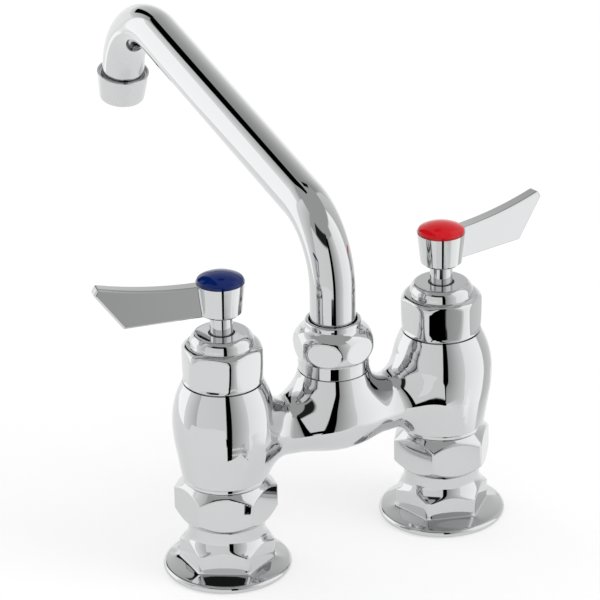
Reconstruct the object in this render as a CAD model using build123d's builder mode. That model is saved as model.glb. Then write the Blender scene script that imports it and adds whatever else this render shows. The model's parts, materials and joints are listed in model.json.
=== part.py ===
from build123d import *
import os
from math import cos, radians, sin, sqrt

# Commercial deck-mount faucet on two inlets, with lever handles and a swing spout.
# Millimetres. The origin is on the deck, midway between the inlets. +Z is up, -Y is the user's
# side, +X is the cold side. Radii are measured from the axis of the stack that a piece is in.

# Overall
inlet_spacing = 101.6
spout_reach = 206.4
bridge_height = 58.3

# Clearances
thread_gap = 0.1
running_gap = 0.06
face_gap = 0.05
seam_gap = 0.3
seal_gap = 0.1

# Deck flange
flange_radius = 26.7
flange_rim = 3.2
flange_rise = 1.4
flange_hex = 35.0
flange_hex_height = 7.6
flange_hex_round = 2.0
flange_dome_height = 6.4
flange_dome_waist = (1.1, 3.6)
neck_radius = 16.0
neck_height = 4.2
inlet_radius = 9.3
inlet_depth = 17.0
inlet_run_out = 2.0
waterway_radius = 7.3
spigot_radius = 14.5
spigot_height = 9.6
spigot_lead = 0.8

# Coupling nut, washer and retaining ring
coupling_hex = 37.3
coupling_lead_radius = 17.0
coupling_lip = 3.6
washer_thickness = 2.0
washer_radius = 13.8
washer_bore = 7.5
ring_thickness = 2.0
ring_radius = 14.2
ring_split = 3.0
tail_radius = 12.9
ring_groove_depth = 1.4
ring_land = 1.3

# Valve bodies
bead_radius = 17.9
bead_height = 2.0
bead_round = 0.5
body_foot_radius = 18.05
body_belly_radius = 21.3
body_belly_rise = 23.8
body_taper_rise = 13.8
body_taper_radius = 20.4
body_top_radius = 16.6
body_top_rise = 18.3
body_thread_radius = 14.6
body_thread_height = 7.2
cartridge_bore_radius = 11.6
seat_height = 50.0
seat_port_radius = 6.0
seat_thickness = 2.5

# Bridge and spout hub. The bridge's sections are ellipses, given by half width and half height
bridge_hub_width = 17.4
bridge_hub_height = 12.9
bridge_waist_width = 12.5
bridge_waist_height = 12.2
bridge_end_width = 16.5
bridge_end_height = 13.2
bridge_end_inset = 8.8
bridge_fillet = 5.5
arm_waterway_radius = 7.5
hub_top_radius = 14.9
hub_top = 79.6
hub_flare_radius = 18.2
hub_flare_height = 67.0
hub_bottom_drop = 9.4
hub_flat_radius = 9.0
hub_thread_radius = 13.5
hub_thread_height = 8.4
hub_bore_radius = 11.4
hub_bore_depth = 24.0
hub_well_radius = 9.0

# Bonnet
bonnet_hex = 31.6
bonnet_radius = 17.2
bonnet_foot_radius = 16.5
bonnet_foot_height = 2.0
bonnet_shoulder_height = 12.8
bonnet_ledge_radius = 13.7
bonnet_ledge_height = 16.4
bonnet_step_radius = 13.2
bonnet_face_radius = 11.1
bonnet_step_height = 4.8
bonnet_step_round = 3.8
bonnet_mouth_radius = 5.4
bonnet_lip = 1.0

# Cartridge
cartridge_flange_radius = 13.9
cartridge_flange_height = 2.5
cartridge_foot_radius = 9.6
cartridge_foot_height = 18.0
cartridge_neck_radius = 6.1
disc_radius = 8.3
seal_height = 3.0
seal_bore_radius = 5.4
fixed_disc_thickness = 3.0
moving_disc_thickness = 2.6
turning_radius = 7.9
port_pitch_radius = 3.5
port_width = 2.8
port_span = 64
driver_thickness = 2.0
driver_width = 5.0
driver_key_width = 3.0
driver_key_length = 2.0
driver_key_depth = 1.0
window_width = 9.0
window_height = 4.6
collar_thickness = 2.0
stem_radius = 5.5
stem_waist_radius = 3.6
stem_shoulder = 96.0
stem_shoulder_room = 0.5
neck_clearance = 0.4
drive_radius = 4.7
drive_square = 7.0
drive_square_height = 7.4
clip_radius = 5.3
clip_thickness = 0.8
clip_groove_depth = 0.5
o_ring_section = 1.8
groove_width = 2.2
cartridge_o_ring_height = 84.0
stem_o_ring_heights = (74.0, 80.0)

# Handle
handle_bottom = 115.8
handle_height = 14.0
handle_foot_radius = 8.6
handle_foot_round = 1.0
handle_top_radius = 10.1
lever_length = 53.0
lever_top_length = 51.3
lever_heel_length = 41.0
lever_heel_drop = 0.6
lever_foot_rise = 0.3
lever_root = 5.0
lever_shelf = 0.1
lever_shelf_radius = 10.3
lever_rise = 4.7
lever_sag = 1.3
lever_blunt = 2.8
lever_thickness = 6.4
lever_tip_thickness = 5.4
lever_flare = 2.5
lever_edge_round = 1.0
lever_angle = 11.5
socket_stop_height = 1.4
cap_recess_radius = 8.9
cap_recess_depth = 3.2
screw_radius = 1.9
screw_length = 13.0
screw_room = 1.0
screw_head_radius = 3.9
screw_head_height = 2.3
screw_head_round = 0.8
screw_socket = 2.5
screw_socket_depth = 1.5

# Index cap
cap_radius = 9.7
cap_edge_height = 1.2
cap_dome_height = 2.7
cap_skirt_height = 2.4
cap_wall = 1.2
cap_edge_round = 0.6
cap_edge_rise = 0.36

# Spout swivel nut
swivel_bottom = 79.9
swivel_skirt_radius = 14.8
swivel_skirt_height = 5.7
swivel_belly_radius = 17.0
swivel_belly_rise = 11.0
swivel_facet = 30.66
swivel_lip_radius = 11.8
swivel_lip_height = 2.4
swivel_lip_round = 1.1
swivel_neck_radius = 12.8
swivel_neck_height = 1.0
swivel_top = 102.1
swivel_mouth_radius = 10.1

# Spout
tube_radius = 9.525
tube_wall = 1.2
riser_top = 114.8
first_bend_radius = 31.2
second_bend_radius = 33.8
spout_slope = 10.6
outlet_leg = 17.6
sleeve_gap = 0.08
brazing_gap = 0.02
sleeve_flange_radius = 13.2
sleeve_flange_height = 2.0
sleeve_length = 24.0
sleeve_socket_depth = 13.0
sleeve_bore_radius = 8.0
swivel_washer_thickness = 0.8
swivel_washer_radius = 13.3
sleeve_o_ring_heights = (69.6, 73.8)
bearing_washer_bore = 11.7

# Aerator
aerator_top_radius = 11.7
aerator_bottom_radius = 10.1
aerator_height = 13.6
aerator_bottom_round = 1.4
aerator_rim_radius = 10.7
aerator_rim_depth = 1.2
aerator_rim_round = 0.3
aerator_lip = 1.4
aerator_mouth_radius = 7.8
aerator_insert_thickness = 3.5
aerator_screen_thickness = 0.5
aerator_washer_thickness = 1.4
aerator_washer_bore = 6.8
aerator_hole_radius = 0.9
aerator_hole_ring = 3.1

# Degrees that each hexagon is turned about its axis, as the nuts happen to be tightened
cold_flange_turn = 30.0
cold_coupling_turn = 34.5
cold_bonnet_turn = 19.0
hot_flange_turn = 45.0
hot_coupling_turn = 52.0
hot_bonnet_turn = 39.0
swivel_turn = 19.0

# Heights that follow from the sizes above
valve_x = inlet_spacing / 2
flange_root = flange_rim + flange_rise
flange_dome_foot = flange_root + flange_hex_height
neck_foot = flange_dome_foot + flange_dome_height
neck_top = neck_foot + neck_height
spigot_top = neck_top + spigot_height
tail_bottom = spigot_top + washer_thickness
ring_bottom = tail_bottom + ring_land
coupling_bottom = neck_top + seam_gap
coupling_shoulder = ring_bottom + ring_thickness
coupling_top = coupling_shoulder + coupling_lip
bead_bottom = coupling_top + seam_gap
body_foot = bead_bottom + bead_height
belly_height = body_foot + body_belly_rise
body_shoulder = belly_height + body_top_rise
body_rim = body_shoulder + body_thread_height
bonnet_bottom = body_shoulder + seam_gap
cartridge_top = body_rim + cartridge_flange_height
bonnet_ledge = bonnet_bottom + bonnet_ledge_height
bonnet_top = bonnet_ledge + bonnet_step_height
cartridge_neck_top = bonnet_top - bonnet_lip - face_gap
cartridge_bottom = seat_height + 2 * seam_gap
fixed_disc_bottom = seat_height + seal_height
moving_disc_bottom = fixed_disc_bottom + fixed_disc_thickness + face_gap
driver_bottom = moving_disc_bottom + moving_disc_thickness
driver_top = driver_bottom + driver_thickness
window_bottom = driver_top
collar_bottom = window_bottom + window_height
collar_top = collar_bottom + collar_thickness
cartridge_shoulder = collar_top + face_gap
handle_top = handle_bottom + handle_height
socket_bottom = handle_bottom + socket_stop_height
stem_top = socket_bottom + drive_square_height
cap_seat = handle_top - cap_recess_depth
hub_thread_top = hub_top + hub_thread_height
sleeve_flange_bottom = hub_thread_top + swivel_washer_thickness + face_gap
sleeve_top = sleeve_flange_bottom + sleeve_flange_height
swivel_shoulder = sleeve_top + face_gap + swivel_washer_thickness
sleeve_bottom = sleeve_top - sleeve_length
tube_bottom = sleeve_top - sleeve_socket_depth
bearing_washer_top = hub_thread_top + swivel_washer_thickness
thrust_washer_bottom = swivel_shoulder - swivel_washer_thickness
insert_bottom = aerator_lip
screen_bottom = insert_bottom + aerator_insert_thickness
screen_top = screen_bottom + aerator_screen_thickness
tube_end = screen_top + aerator_washer_thickness

# The spout's path as (y, z) points: the outlet leg is square to the rising run
slope = radians(spout_slope)
run_start = (-first_bend_radius * (1 - sin(slope)), riser_top + first_bend_radius * cos(slope))
bend_reach = second_bend_radius * (sin(slope) + cos(slope)) + outlet_leg * sin(slope)
run = (spout_reach + run_start[0] - bend_reach) / cos(slope)
run_end = (run_start[0] - run * cos(slope), run_start[1] + run * sin(slope))
leg_start = (
    run_end[0] - second_bend_radius * (sin(slope) + cos(slope)),
    run_end[1] + second_bend_radius * (sin(slope) - cos(slope)),
)
outlet = (leg_start[0] - outlet_leg * sin(slope), leg_start[1] - outlet_leg * cos(slope))
leg_end = (outlet[0] + tube_end * sin(slope), outlet[1] + tube_end * cos(slope))


def upright(x):
    """The vertical plane through the axis at x: sketch X is the radius, sketch Y is the height."""
    return Plane(origin=(x, 0, 0), x_dir=(0, -1, 0), z_dir=(-1, 0, 0))


def level(x, height):
    """The horizontal plane at a height, centred on the axis at x."""
    return Plane(origin=(x, 0, height))


def stack_axis(x):
    """The vertical axis at x."""
    return Axis((x, 0, 0), (0, 0, 1))


def ring(x, inner, outer, bottom, top):
    """A flat ring, or a disc when inner is 0."""
    with BuildPart() as piece:
        with BuildSketch(level(x, bottom)):
            Circle(outer)
            if inner > 0:
                Circle(inner, mode=Mode.SUBTRACT)
        extrude(amount=top - bottom)
    return piece


def o_rings(x, centre_radius, section, heights):
    """Round rings about the axis at x, one at each height."""
    with BuildPart() as piece:
        with BuildSketch(upright(x)):
            with Locations([(centre_radius, height) for height in heights]):
                Circle(section / 2)
        revolve(axis=stack_axis(x))
    return piece


def save(piece, node):
    """Labels a finished piece and writes its STEP file."""
    piece.part.label = node
    export_step(piece.part, f"parts/{node}.step")


def deck_flange(x, turn):
    """Foot: a round plate, a hexagon that runs up into a bell, a neck and a threaded spigot."""
    hex_corner = flange_hex / sqrt(3)
    waist = (neck_radius + flange_dome_waist[0], neck_foot - flange_dome_waist[1])
    rim_flat = flange_radius - flange_rim / 2
    with BuildPart() as piece:
        with BuildSketch(upright(x)):
            with BuildLine():
                Polyline((0, 0), (0, neck_foot), (neck_radius, neck_foot))
                ThreePointArc((neck_radius, neck_foot), waist, (hex_corner, flange_dome_foot))
                Polyline((hex_corner, flange_dome_foot), (hex_corner, 0), (0, 0))
            make_face()
        revolve(axis=stack_axis(x))
        with BuildSketch(level(x, 0)) as hexagon:
            RegularPolygon(flange_hex / 2, 6, major_radius=False, rotation=turn)
            fillet(hexagon.vertices(), flange_hex_round)
        extrude(amount=neck_foot, mode=Mode.INTERSECT)
        with BuildSketch(upright(x)):
            with BuildLine():
                Line((0, 0), (rim_flat, 0))
                ThreePointArc((rim_flat, 0), (flange_radius, flange_rim / 2), (rim_flat, flange_rim))
                Polyline((rim_flat, flange_rim), (hex_corner, flange_root), (0, flange_root), (0, 0))
            make_face()
        revolve(axis=stack_axis(x))
        with BuildSketch(level(x, neck_foot)):
            Circle(neck_radius)
        extrude(amount=neck_height)
        with BuildSketch(level(x, neck_top)):
            Circle(spigot_radius)
        extrude(amount=spigot_height)
        chamfer(piece.edges().group_by(Axis.Z)[-1], spigot_lead)
        with BuildSketch(upright(x)):
            with BuildLine():
                Polyline(
                    (0, 0),
                    (inlet_radius, 0),
                    (inlet_radius, inlet_depth),
                    (waterway_radius, inlet_depth + inlet_run_out),
                    (waterway_radius, spigot_top),
                    (0, spigot_top),
                    close=True,
                )
            make_face()
        revolve(axis=stack_axis(x), mode=Mode.SUBTRACT)
    return piece


def coupling_nut(x, turn):
    """Union nut: hexagon turned to a lead at both faces, thread bore below, lip above."""
    lead = coupling_hex / sqrt(3) - coupling_lead_radius
    corner = coupling_hex / sqrt(3)
    with BuildPart() as piece:
        with BuildSketch(level(x, coupling_bottom)):
            RegularPolygon(coupling_hex / 2, 6, major_radius=False, rotation=turn)
        extrude(amount=coupling_top - coupling_bottom)
        with BuildSketch(upright(x)):
            Polygon(
                (0, coupling_bottom),
                (coupling_lead_radius, coupling_bottom),
                (corner, coupling_bottom + lead),
                (corner, coupling_top - lead),
                (coupling_lead_radius, coupling_top),
                (0, coupling_top),
                align=None,
            )
        revolve(axis=stack_axis(x), mode=Mode.INTERSECT)
        with BuildSketch(level(x, coupling_bottom)):
            Circle(spigot_radius + thread_gap)
        extrude(amount=coupling_shoulder - coupling_bottom, mode=Mode.SUBTRACT)
        with BuildSketch(level(x, coupling_shoulder)):
            Circle(tail_radius + thread_gap)
        extrude(amount=coupling_lip, mode=Mode.SUBTRACT)
    return piece


def retaining_ring(x):
    """Split ring in the tail's groove, under the coupling nut's lip."""
    with BuildPart() as piece:
        with BuildSketch(level(x, ring_bottom)):
            Circle(ring_radius)
            Circle(tail_radius - ring_groove_depth + thread_gap, mode=Mode.SUBTRACT)
            with Locations((0, -ring_radius)):
                Rectangle(ring_split, ring_radius, mode=Mode.SUBTRACT)
        extrude(amount=ring_thickness)
    return piece


def valve_outline():
    """Half outline of a valve body: tail with its groove, bead, barrel and threaded rim."""
    groove = tail_radius - ring_groove_depth
    groove_top = coupling_shoulder + thread_gap
    bead_middle = bead_bottom + bead_height / 2
    foot = (body_foot_radius, body_foot)
    taper = (body_taper_radius, body_foot + body_taper_rise)
    belly = (body_belly_radius, belly_height)
    shoulder = (body_top_radius, body_shoulder)
    slope = (body_taper_radius - body_foot_radius, body_taper_rise)
    Polyline(
        (0, tail_bottom),
        (tail_radius, tail_bottom),
        (tail_radius, ring_bottom),
        (groove, ring_bottom),
        (groove, groove_top),
        (tail_radius, groove_top),
        (tail_radius, bead_bottom),
        (bead_radius - bead_round, bead_bottom),
    )
    ThreePointArc(
        (bead_radius - bead_round, bead_bottom),
        (bead_radius, bead_middle),
        (bead_radius - bead_round, body_foot),
    )
    Line((bead_radius - bead_round, body_foot), foot)
    Line(foot, taper)
    lower_arc = TangentArc(taper, belly, tangent=slope)
    TangentArc(belly, shoulder, tangent=lower_arc % 1)
    Polyline(
        shoulder,
        (body_thread_radius, body_shoulder),
        (body_thread_radius, body_rim),
        (0, body_rim),
        (0, tail_bottom),
    )


def hub_outline():
    """Half outline of the spout hub: threaded rim, seam and a flare that rounds in below."""
    bottom = bridge_height - hub_bottom_drop
    seam = (hub_top_radius, hub_top)
    flare = (hub_flare_radius, hub_flare_height)
    slope = (hub_flare_radius - hub_top_radius, hub_flare_height - hub_top)
    Polyline(
        (0, bottom),
        (0, hub_thread_top),
        (hub_thread_radius, hub_thread_top),
        (hub_thread_radius, hub_top),
        seam,
    )
    Line(seam, flare)
    TangentArc(flare, (hub_flat_radius, bottom), tangent=slope)
    Line((hub_flat_radius, bottom), (0, bottom))


def body_casting():
    """Two valve bodies, the bridge between them and the spout hub, cast in one piece."""
    port_bottom = seat_height - seat_thickness
    hub_bore_bottom = hub_thread_top - hub_bore_depth
    arm_room = (valve_x - body_taper_radius - hub_flare_radius) / 2
    join_fillet = min(bridge_fillet, arm_room - seal_gap)
    waist_x = hub_flare_radius + arm_room
    end_x = valve_x - bridge_end_inset
    sections = (
        (-end_x, bridge_end_width, bridge_end_height),
        (-waist_x, bridge_waist_width, bridge_waist_height),
        (0, bridge_hub_width, bridge_hub_height),
        (waist_x, bridge_waist_width, bridge_waist_height),
        (end_x, bridge_end_width, bridge_end_height),
    )
    with BuildPart() as piece:
        with BuildSketch(upright(0)):
            with BuildLine():
                hub_outline()
            make_face()
        revolve(axis=stack_axis(0))
        for x in (valve_x, -valve_x):
            with BuildSketch(upright(x)):
                with BuildLine():
                    valve_outline()
                make_face()
            revolve(axis=stack_axis(x))
        for x, half_width, half_height in sections:
            with BuildSketch(Plane.YZ.offset(x)):
                with Locations((0, bridge_height)):
                    Ellipse(half_height, half_width, rotation=-90)
        loft()
        joins = piece.edges().filter_by(lambda edge: min(edge.bounding_box().size) > bead_round)
        fillet(joins, join_fillet)
        for x in (valve_x, -valve_x):
            with BuildSketch(upright(x)):
                Polygon(
                    (0, tail_bottom),
                    (waterway_radius, tail_bottom),
                    (waterway_radius, port_bottom),
                    (seat_port_radius, port_bottom),
                    (seat_port_radius, seat_height),
                    (cartridge_bore_radius, seat_height),
                    (cartridge_bore_radius, body_rim),
                    (0, body_rim),
                    align=None,
                )
            revolve(axis=stack_axis(x), mode=Mode.SUBTRACT)
        with BuildSketch(Plane.YZ.offset(-valve_x)):
            with Locations((0, bridge_height)):
                Circle(arm_waterway_radius)
        extrude(amount=inlet_spacing, mode=Mode.SUBTRACT)
        with BuildSketch(level(0, bridge_height)):
            Circle(hub_well_radius)
        extrude(amount=hub_bore_bottom - bridge_height, mode=Mode.SUBTRACT)
        with BuildSketch(level(0, hub_bore_bottom)):
            Circle(hub_bore_radius)
        extrude(amount=hub_bore_depth, mode=Mode.SUBTRACT)
    return piece


def bonnet(x, turn):
    """Hexagonal bonnet with barrel-shaped corners, a ledge and a raised face round the stem."""
    foot = (bonnet_foot_radius, bonnet_bottom)
    shoulder = (bonnet_radius, bonnet_bottom + bonnet_shoulder_height)
    ledge = (bonnet_ledge_radius, bonnet_ledge)
    step = (bonnet_step_radius, bonnet_top - bonnet_step_round)
    with BuildPart() as piece:
        with BuildSketch(level(x, bonnet_bottom)):
            RegularPolygon(bonnet_hex / 2, 6, major_radius=False, rotation=turn)
        extrude(amount=bonnet_top - bonnet_bottom)
        with BuildSketch(upright(x)):
            with BuildLine():
                Polyline((0, bonnet_top), (0, bonnet_bottom), foot)
                TangentArc(shoulder, foot, tangent=(0, -1))
                TangentArc(shoulder, ledge, tangent=(0, 1))
                Polyline(ledge, (bonnet_step_radius, bonnet_ledge), step)
                TangentArc(step, (bonnet_face_radius, bonnet_top), tangent=(0, 1))
                Line((bonnet_face_radius, bonnet_top), (0, bonnet_top))
            make_face()
        revolve(axis=stack_axis(x), mode=Mode.INTERSECT)
        with BuildSketch(level(x, bonnet_bottom)):
            Circle(bonnet_foot_radius)
        extrude(amount=bonnet_foot_height)
        with BuildSketch(level(x, bonnet_bottom)):
            Circle(body_thread_radius + thread_gap)
        extrude(amount=cartridge_top - bonnet_bottom, mode=Mode.SUBTRACT)
        with BuildSketch(level(x, cartridge_top)):
            Circle(cartridge_neck_radius + thread_gap)
        extrude(amount=bonnet_top - bonnet_lip - cartridge_top, mode=Mode.SUBTRACT)
        with BuildSketch(level(x, bonnet_top)):
            Circle(bonnet_mouth_radius)
        extrude(amount=-bonnet_lip, mode=Mode.SUBTRACT)
    return piece


def cartridge_body(x):
    """Turned brass body: foot round the discs, barrel, clamped flange and neck."""
    foot_bore = disc_radius + seal_gap
    foot_top = cartridge_bottom + cartridge_foot_height
    barrel_radius = cartridge_bore_radius - thread_gap
    guide_radius = stem_radius + running_gap
    neck_bore = drive_radius + neck_clearance
    guide_top = stem_shoulder + stem_shoulder_room
    with BuildPart() as piece:
        with BuildSketch(upright(x)):
            Polygon(
                (foot_bore, cartridge_bottom),
                (cartridge_foot_radius, cartridge_bottom),
                (cartridge_foot_radius, foot_top),
                (barrel_radius, foot_top),
                (barrel_radius, body_rim),
                (cartridge_flange_radius, body_rim),
                (cartridge_flange_radius, cartridge_top),
                (cartridge_neck_radius, cartridge_top),
                (cartridge_neck_radius, cartridge_neck_top),
                (neck_bore, cartridge_neck_top),
                (neck_bore, guide_top),
                (guide_radius, guide_top),
                (guide_radius, cartridge_shoulder),
                (foot_bore, cartridge_shoulder),
                align=None,
            )
        revolve(axis=stack_axis(x))
        with BuildSketch(level(x, cartridge_o_ring_height - groove_width / 2)):
            Circle(barrel_radius)
            Circle(barrel_radius - o_ring_section, mode=Mode.SUBTRACT)
        extrude(amount=groove_width, mode=Mode.SUBTRACT)
        with BuildSketch(level(x, window_bottom)):
            Rectangle(3 * cartridge_foot_radius, window_width)
        extrude(amount=window_height, mode=Mode.SUBTRACT)
    return piece


def kidney_ports(angle):
    """Two kidney-shaped ports, opposite each other on the disc."""
    for start in (angle, angle + 180):
        first = start - port_span / 2
        arc = CenterArc((0, 0), port_pitch_radius, first, port_span, mode=Mode.PRIVATE)
        SlotArc(arc, port_width, mode=Mode.SUBTRACT)


def fixed_disc(x):
    """Ceramic disc that stays in the cartridge, with ports on the Y line."""
    with BuildPart() as piece:
        with BuildSketch(level(x, fixed_disc_bottom)):
            Circle(disc_radius)
            kidney_ports(90)
        extrude(amount=fixed_disc_thickness)
    return piece


def moving_disc(x):
    """Ceramic disc that turns with the stem, with ports on the X line and two key slots."""
    slot_bottom = driver_bottom - driver_key_depth - face_gap
    with BuildPart() as piece:
        with BuildSketch(level(x, moving_disc_bottom)):
            Circle(turning_radius)
            kidney_ports(0)
        extrude(amount=moving_disc_thickness)
        with BuildSketch(level(x, slot_bottom)):
            with Locations((0, turning_radius), (0, -turning_radius)):
                Rectangle(driver_key_width + seal_gap, driver_key_length * 2 + seal_gap)
        extrude(amount=driver_bottom - slot_bottom, mode=Mode.SUBTRACT)
    return piece


def cartridge_stem(x):
    """Stem: disc driver with two keys, thrust collar, guide with grooves, drive square."""
    ring_root = stem_radius - o_ring_section
    clip_root = drive_radius - clip_groove_depth
    clip_bottom = cartridge_neck_top + face_gap
    clip_groove_top = clip_bottom + clip_thickness + face_gap
    with BuildPart() as piece:
        with BuildSketch(level(x, driver_bottom)):
            Circle(turning_radius)
            Rectangle(driver_width, 2 * turning_radius, mode=Mode.INTERSECT)
        extrude(amount=driver_thickness)
        with BuildSketch(level(x, driver_bottom - driver_key_depth)):
            with Locations((0, turning_radius), (0, -turning_radius)):
                Rectangle(driver_key_width, driver_key_length * 2)
            Circle(turning_radius, mode=Mode.INTERSECT)
        extrude(amount=driver_key_depth)
        with BuildSketch(upright(x)):
            Polygon(
                (0, driver_top),
                (stem_waist_radius, driver_top),
                (stem_waist_radius, collar_bottom),
                (turning_radius, collar_bottom),
                (turning_radius, collar_top),
                (stem_radius, collar_top),
                (stem_radius, stem_shoulder),
                (drive_radius, stem_shoulder),
                (drive_radius, clip_bottom),
                (clip_root, clip_bottom),
                (clip_root, clip_groove_top),
                (drive_radius, clip_groove_top),
                (drive_radius, stem_top),
                (0, stem_top),
                align=None,
            )
        revolve(axis=stack_axis(x))
        for height in stem_o_ring_heights:
            with BuildSketch(level(x, height - groove_width / 2)):
                Circle(stem_radius)
                Circle(ring_root, mode=Mode.SUBTRACT)
            extrude(amount=groove_width, mode=Mode.SUBTRACT)
        with BuildSketch(level(x, socket_bottom)):
            Circle(2 * drive_radius)
            Rectangle(drive_square, drive_square, mode=Mode.SUBTRACT)
        extrude(amount=drive_square_height, mode=Mode.SUBTRACT)
        with BuildSketch(level(x, cap_seat - screw_length - screw_room)):
            Circle(screw_radius + thread_gap)
        extrude(amount=screw_length + screw_room, mode=Mode.SUBTRACT)
    return piece


def stem_clip(x):
    """Open clip in the stem's groove, on the cartridge's neck and just below the bonnet's face."""
    clip_bottom = cartridge_neck_top + face_gap
    inner = drive_radius - clip_groove_depth + face_gap
    with BuildPart() as piece:
        with BuildSketch(level(x, clip_bottom)):
            Circle(clip_radius)
            Circle(inner, mode=Mode.SUBTRACT)
            with Locations((0, -clip_radius)):
                Rectangle(inner, clip_radius, mode=Mode.SUBTRACT)
        extrude(amount=clip_thickness)
    return piece


def blade_outline():
    """Side view of the lever blade: X runs from the stack's axis to the tip, Y is the height."""
    shelf = (lever_shelf_radius, handle_top - lever_shelf)
    crest = (lever_top_length, handle_top + lever_rise)
    middle = (
        (lever_shelf_radius + lever_top_length) / 2,
        handle_top + lever_rise / 2 - lever_sag,
    )
    Polyline(
        shelf,
        (lever_root, handle_top - lever_shelf),
        (lever_root, handle_bottom + lever_foot_rise),
        (lever_heel_length, handle_bottom - lever_heel_drop),
        (lever_length, handle_top + lever_rise - lever_blunt),
        crest,
    )
    ThreePointArc(crest, middle, shelf)


def handle(x, heading):
    """Conical hub with a lever blade that flares into it; sockets for the stem, screw and cap."""
    along = (cos(radians(heading)), sin(radians(heading)), 0)
    across = (sin(radians(heading)), -cos(radians(heading)), 0)
    cone = (handle_top_radius - handle_foot_radius) / handle_height
    foot_level = handle_bottom - lever_edge_round - lever_heel_drop
    crest_level = handle_top + lever_rise + lever_edge_round
    tip = lever_length + lever_edge_round
    with BuildPart() as piece:
        for height in (foot_level, crest_level):
            hub = handle_foot_radius + cone * (height - handle_bottom) - brazing_gap
            plan = Plane(origin=(x, 0, height), x_dir=along, z_dir=(0, 0, 1))
            hub_front = (x + hub * along[0], hub * along[1], height)
            with BuildSketch(plan) as section:
                Circle(hub)
                Polygon(
                    (0, lever_thickness / 2),
                    (0, -lever_thickness / 2),
                    (tip, -lever_tip_thickness / 2),
                    (tip, lever_tip_thickness / 2),
                    align=None,
                )
                fillet(section.vertices().sort_by_distance(hub_front)[:2], lever_flare)
        loft(ruled=True)
        with BuildSketch(Plane(origin=(x, 0, 0), x_dir=along, z_dir=across)):
            with BuildLine():
                blade_outline()
            make_face()
        extrude(amount=handle_top_radius + lever_thickness, both=True, mode=Mode.INTERSECT)
        fillet(piece.edges(), lever_edge_round)
        with BuildSketch(upright(x)):
            with BuildLine():
                Polyline(
                    (0, handle_bottom),
                    (handle_foot_radius - handle_foot_round, handle_bottom),
                    (handle_foot_radius + cone * handle_foot_round, handle_bottom + handle_foot_round),
                    (handle_top_radius, handle_top),
                    (0, handle_top),
                    close=True,
                )
            make_face()
        revolve(axis=stack_axis(x))
        with BuildSketch(level(x, handle_bottom)):
            Circle(drive_radius + seam_gap)
        extrude(amount=socket_stop_height, mode=Mode.SUBTRACT)
        with BuildSketch(level(x, socket_bottom)):
            Rectangle(drive_square + seal_gap, drive_square + seal_gap)
        extrude(amount=drive_square_height + seal_gap, mode=Mode.SUBTRACT)
        with BuildSketch(level(x, socket_bottom)):
            Circle(screw_radius + seam_gap)
        extrude(amount=handle_height, mode=Mode.SUBTRACT)
        with BuildSketch(level(x, cap_seat)):
            Circle(cap_recess_radius)
        extrude(amount=2 * cap_recess_depth, mode=Mode.SUBTRACT)
    return piece


def handle_screw(x):
    """Pan-head screw with a hexagon socket."""
    with BuildPart() as piece:
        with BuildSketch(level(x, cap_seat - screw_length)):
            Circle(screw_radius)
        extrude(amount=screw_length)
        with BuildSketch(level(x, cap_seat)):
            Circle(screw_head_radius)
        extrude(amount=screw_head_height)
        fillet(piece.edges().group_by(Axis.Z)[-1], screw_head_round)
        with BuildSketch(level(x, cap_seat + screw_head_height)):
            RegularPolygon(screw_socket / 2, 6, major_radius=False)
        extrude(amount=-screw_socket_depth, mode=Mode.SUBTRACT)
    return piece


def index_cap(x):
    """Domed plug with a flat rim on the handle and a skirt in its recess."""
    rim_top = handle_top + cap_edge_height
    dome_top = rim_top + cap_dome_height
    skirt_radius = cap_recess_radius - thread_gap
    skirt_bottom = handle_top - cap_skirt_height
    rounding = (cap_radius - cap_edge_round, rim_top + cap_edge_rise)
    with BuildPart() as piece:
        with BuildSketch(upright(x)):
            with BuildLine():
                Polyline(
                    (0, rim_top),
                    (skirt_radius - cap_wall, rim_top),
                    (skirt_radius - cap_wall, skirt_bottom),
                    (skirt_radius, skirt_bottom),
                    (skirt_radius, handle_top),
                    (cap_radius, handle_top),
                    (cap_radius, rim_top - cap_edge_round),
                )
                TangentArc((cap_radius, rim_top - cap_edge_round), rounding, tangent=(0, 1))
                TangentArc((0, dome_top), rounding, tangent=(1, 0))
                Line((0, dome_top), (0, rim_top))
            make_face()
        revolve(axis=stack_axis(x))
    return piece


def spout_swivel_nut():
    """Barrel-shaped nut with six oval flats, a concave neck and a rounded lip."""
    belly_height = swivel_bottom + swivel_belly_rise
    skirt_top = swivel_bottom + swivel_skirt_height
    lip_top = swivel_top - swivel_lip_round
    neck = (swivel_neck_radius, swivel_top - swivel_lip_height - swivel_neck_height)
    with BuildPart() as piece:
        with BuildSketch(level(0, swivel_bottom)):
            RegularPolygon(swivel_facet / 2, 6, major_radius=False, rotation=swivel_turn)
        extrude(amount=swivel_top - swivel_bottom)
        with BuildSketch(upright(0)):
            with BuildLine():
                Polyline(
                    (0, swivel_bottom),
                    (swivel_skirt_radius, swivel_bottom),
                    (swivel_skirt_radius, skirt_top),
                )
                ThreePointArc(
                    (swivel_skirt_radius, skirt_top),
                    (swivel_belly_radius, belly_height),
                    neck,
                )
                Polyline(
                    neck,
                    (swivel_lip_radius, swivel_top - swivel_lip_height),
                    (swivel_lip_radius, lip_top),
                )
                TangentArc(
                    (swivel_lip_radius, lip_top),
                    (swivel_lip_radius - swivel_lip_round, swivel_top),
                    tangent=(0, 1),
                )
                Polyline(
                    (swivel_lip_radius - swivel_lip_round, swivel_top),
                    (0, swivel_top),
                    (0, swivel_bottom),
                )
            make_face()
        revolve(axis=stack_axis(0), mode=Mode.INTERSECT)
        with BuildSketch(level(0, swivel_bottom)):
            Circle(hub_thread_radius + thread_gap)
        extrude(amount=swivel_shoulder - swivel_bottom, mode=Mode.SUBTRACT)
        with BuildSketch(level(0, swivel_shoulder)):
            Circle(swivel_mouth_radius)
        extrude(amount=swivel_top - swivel_shoulder, mode=Mode.SUBTRACT)
    return piece


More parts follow.
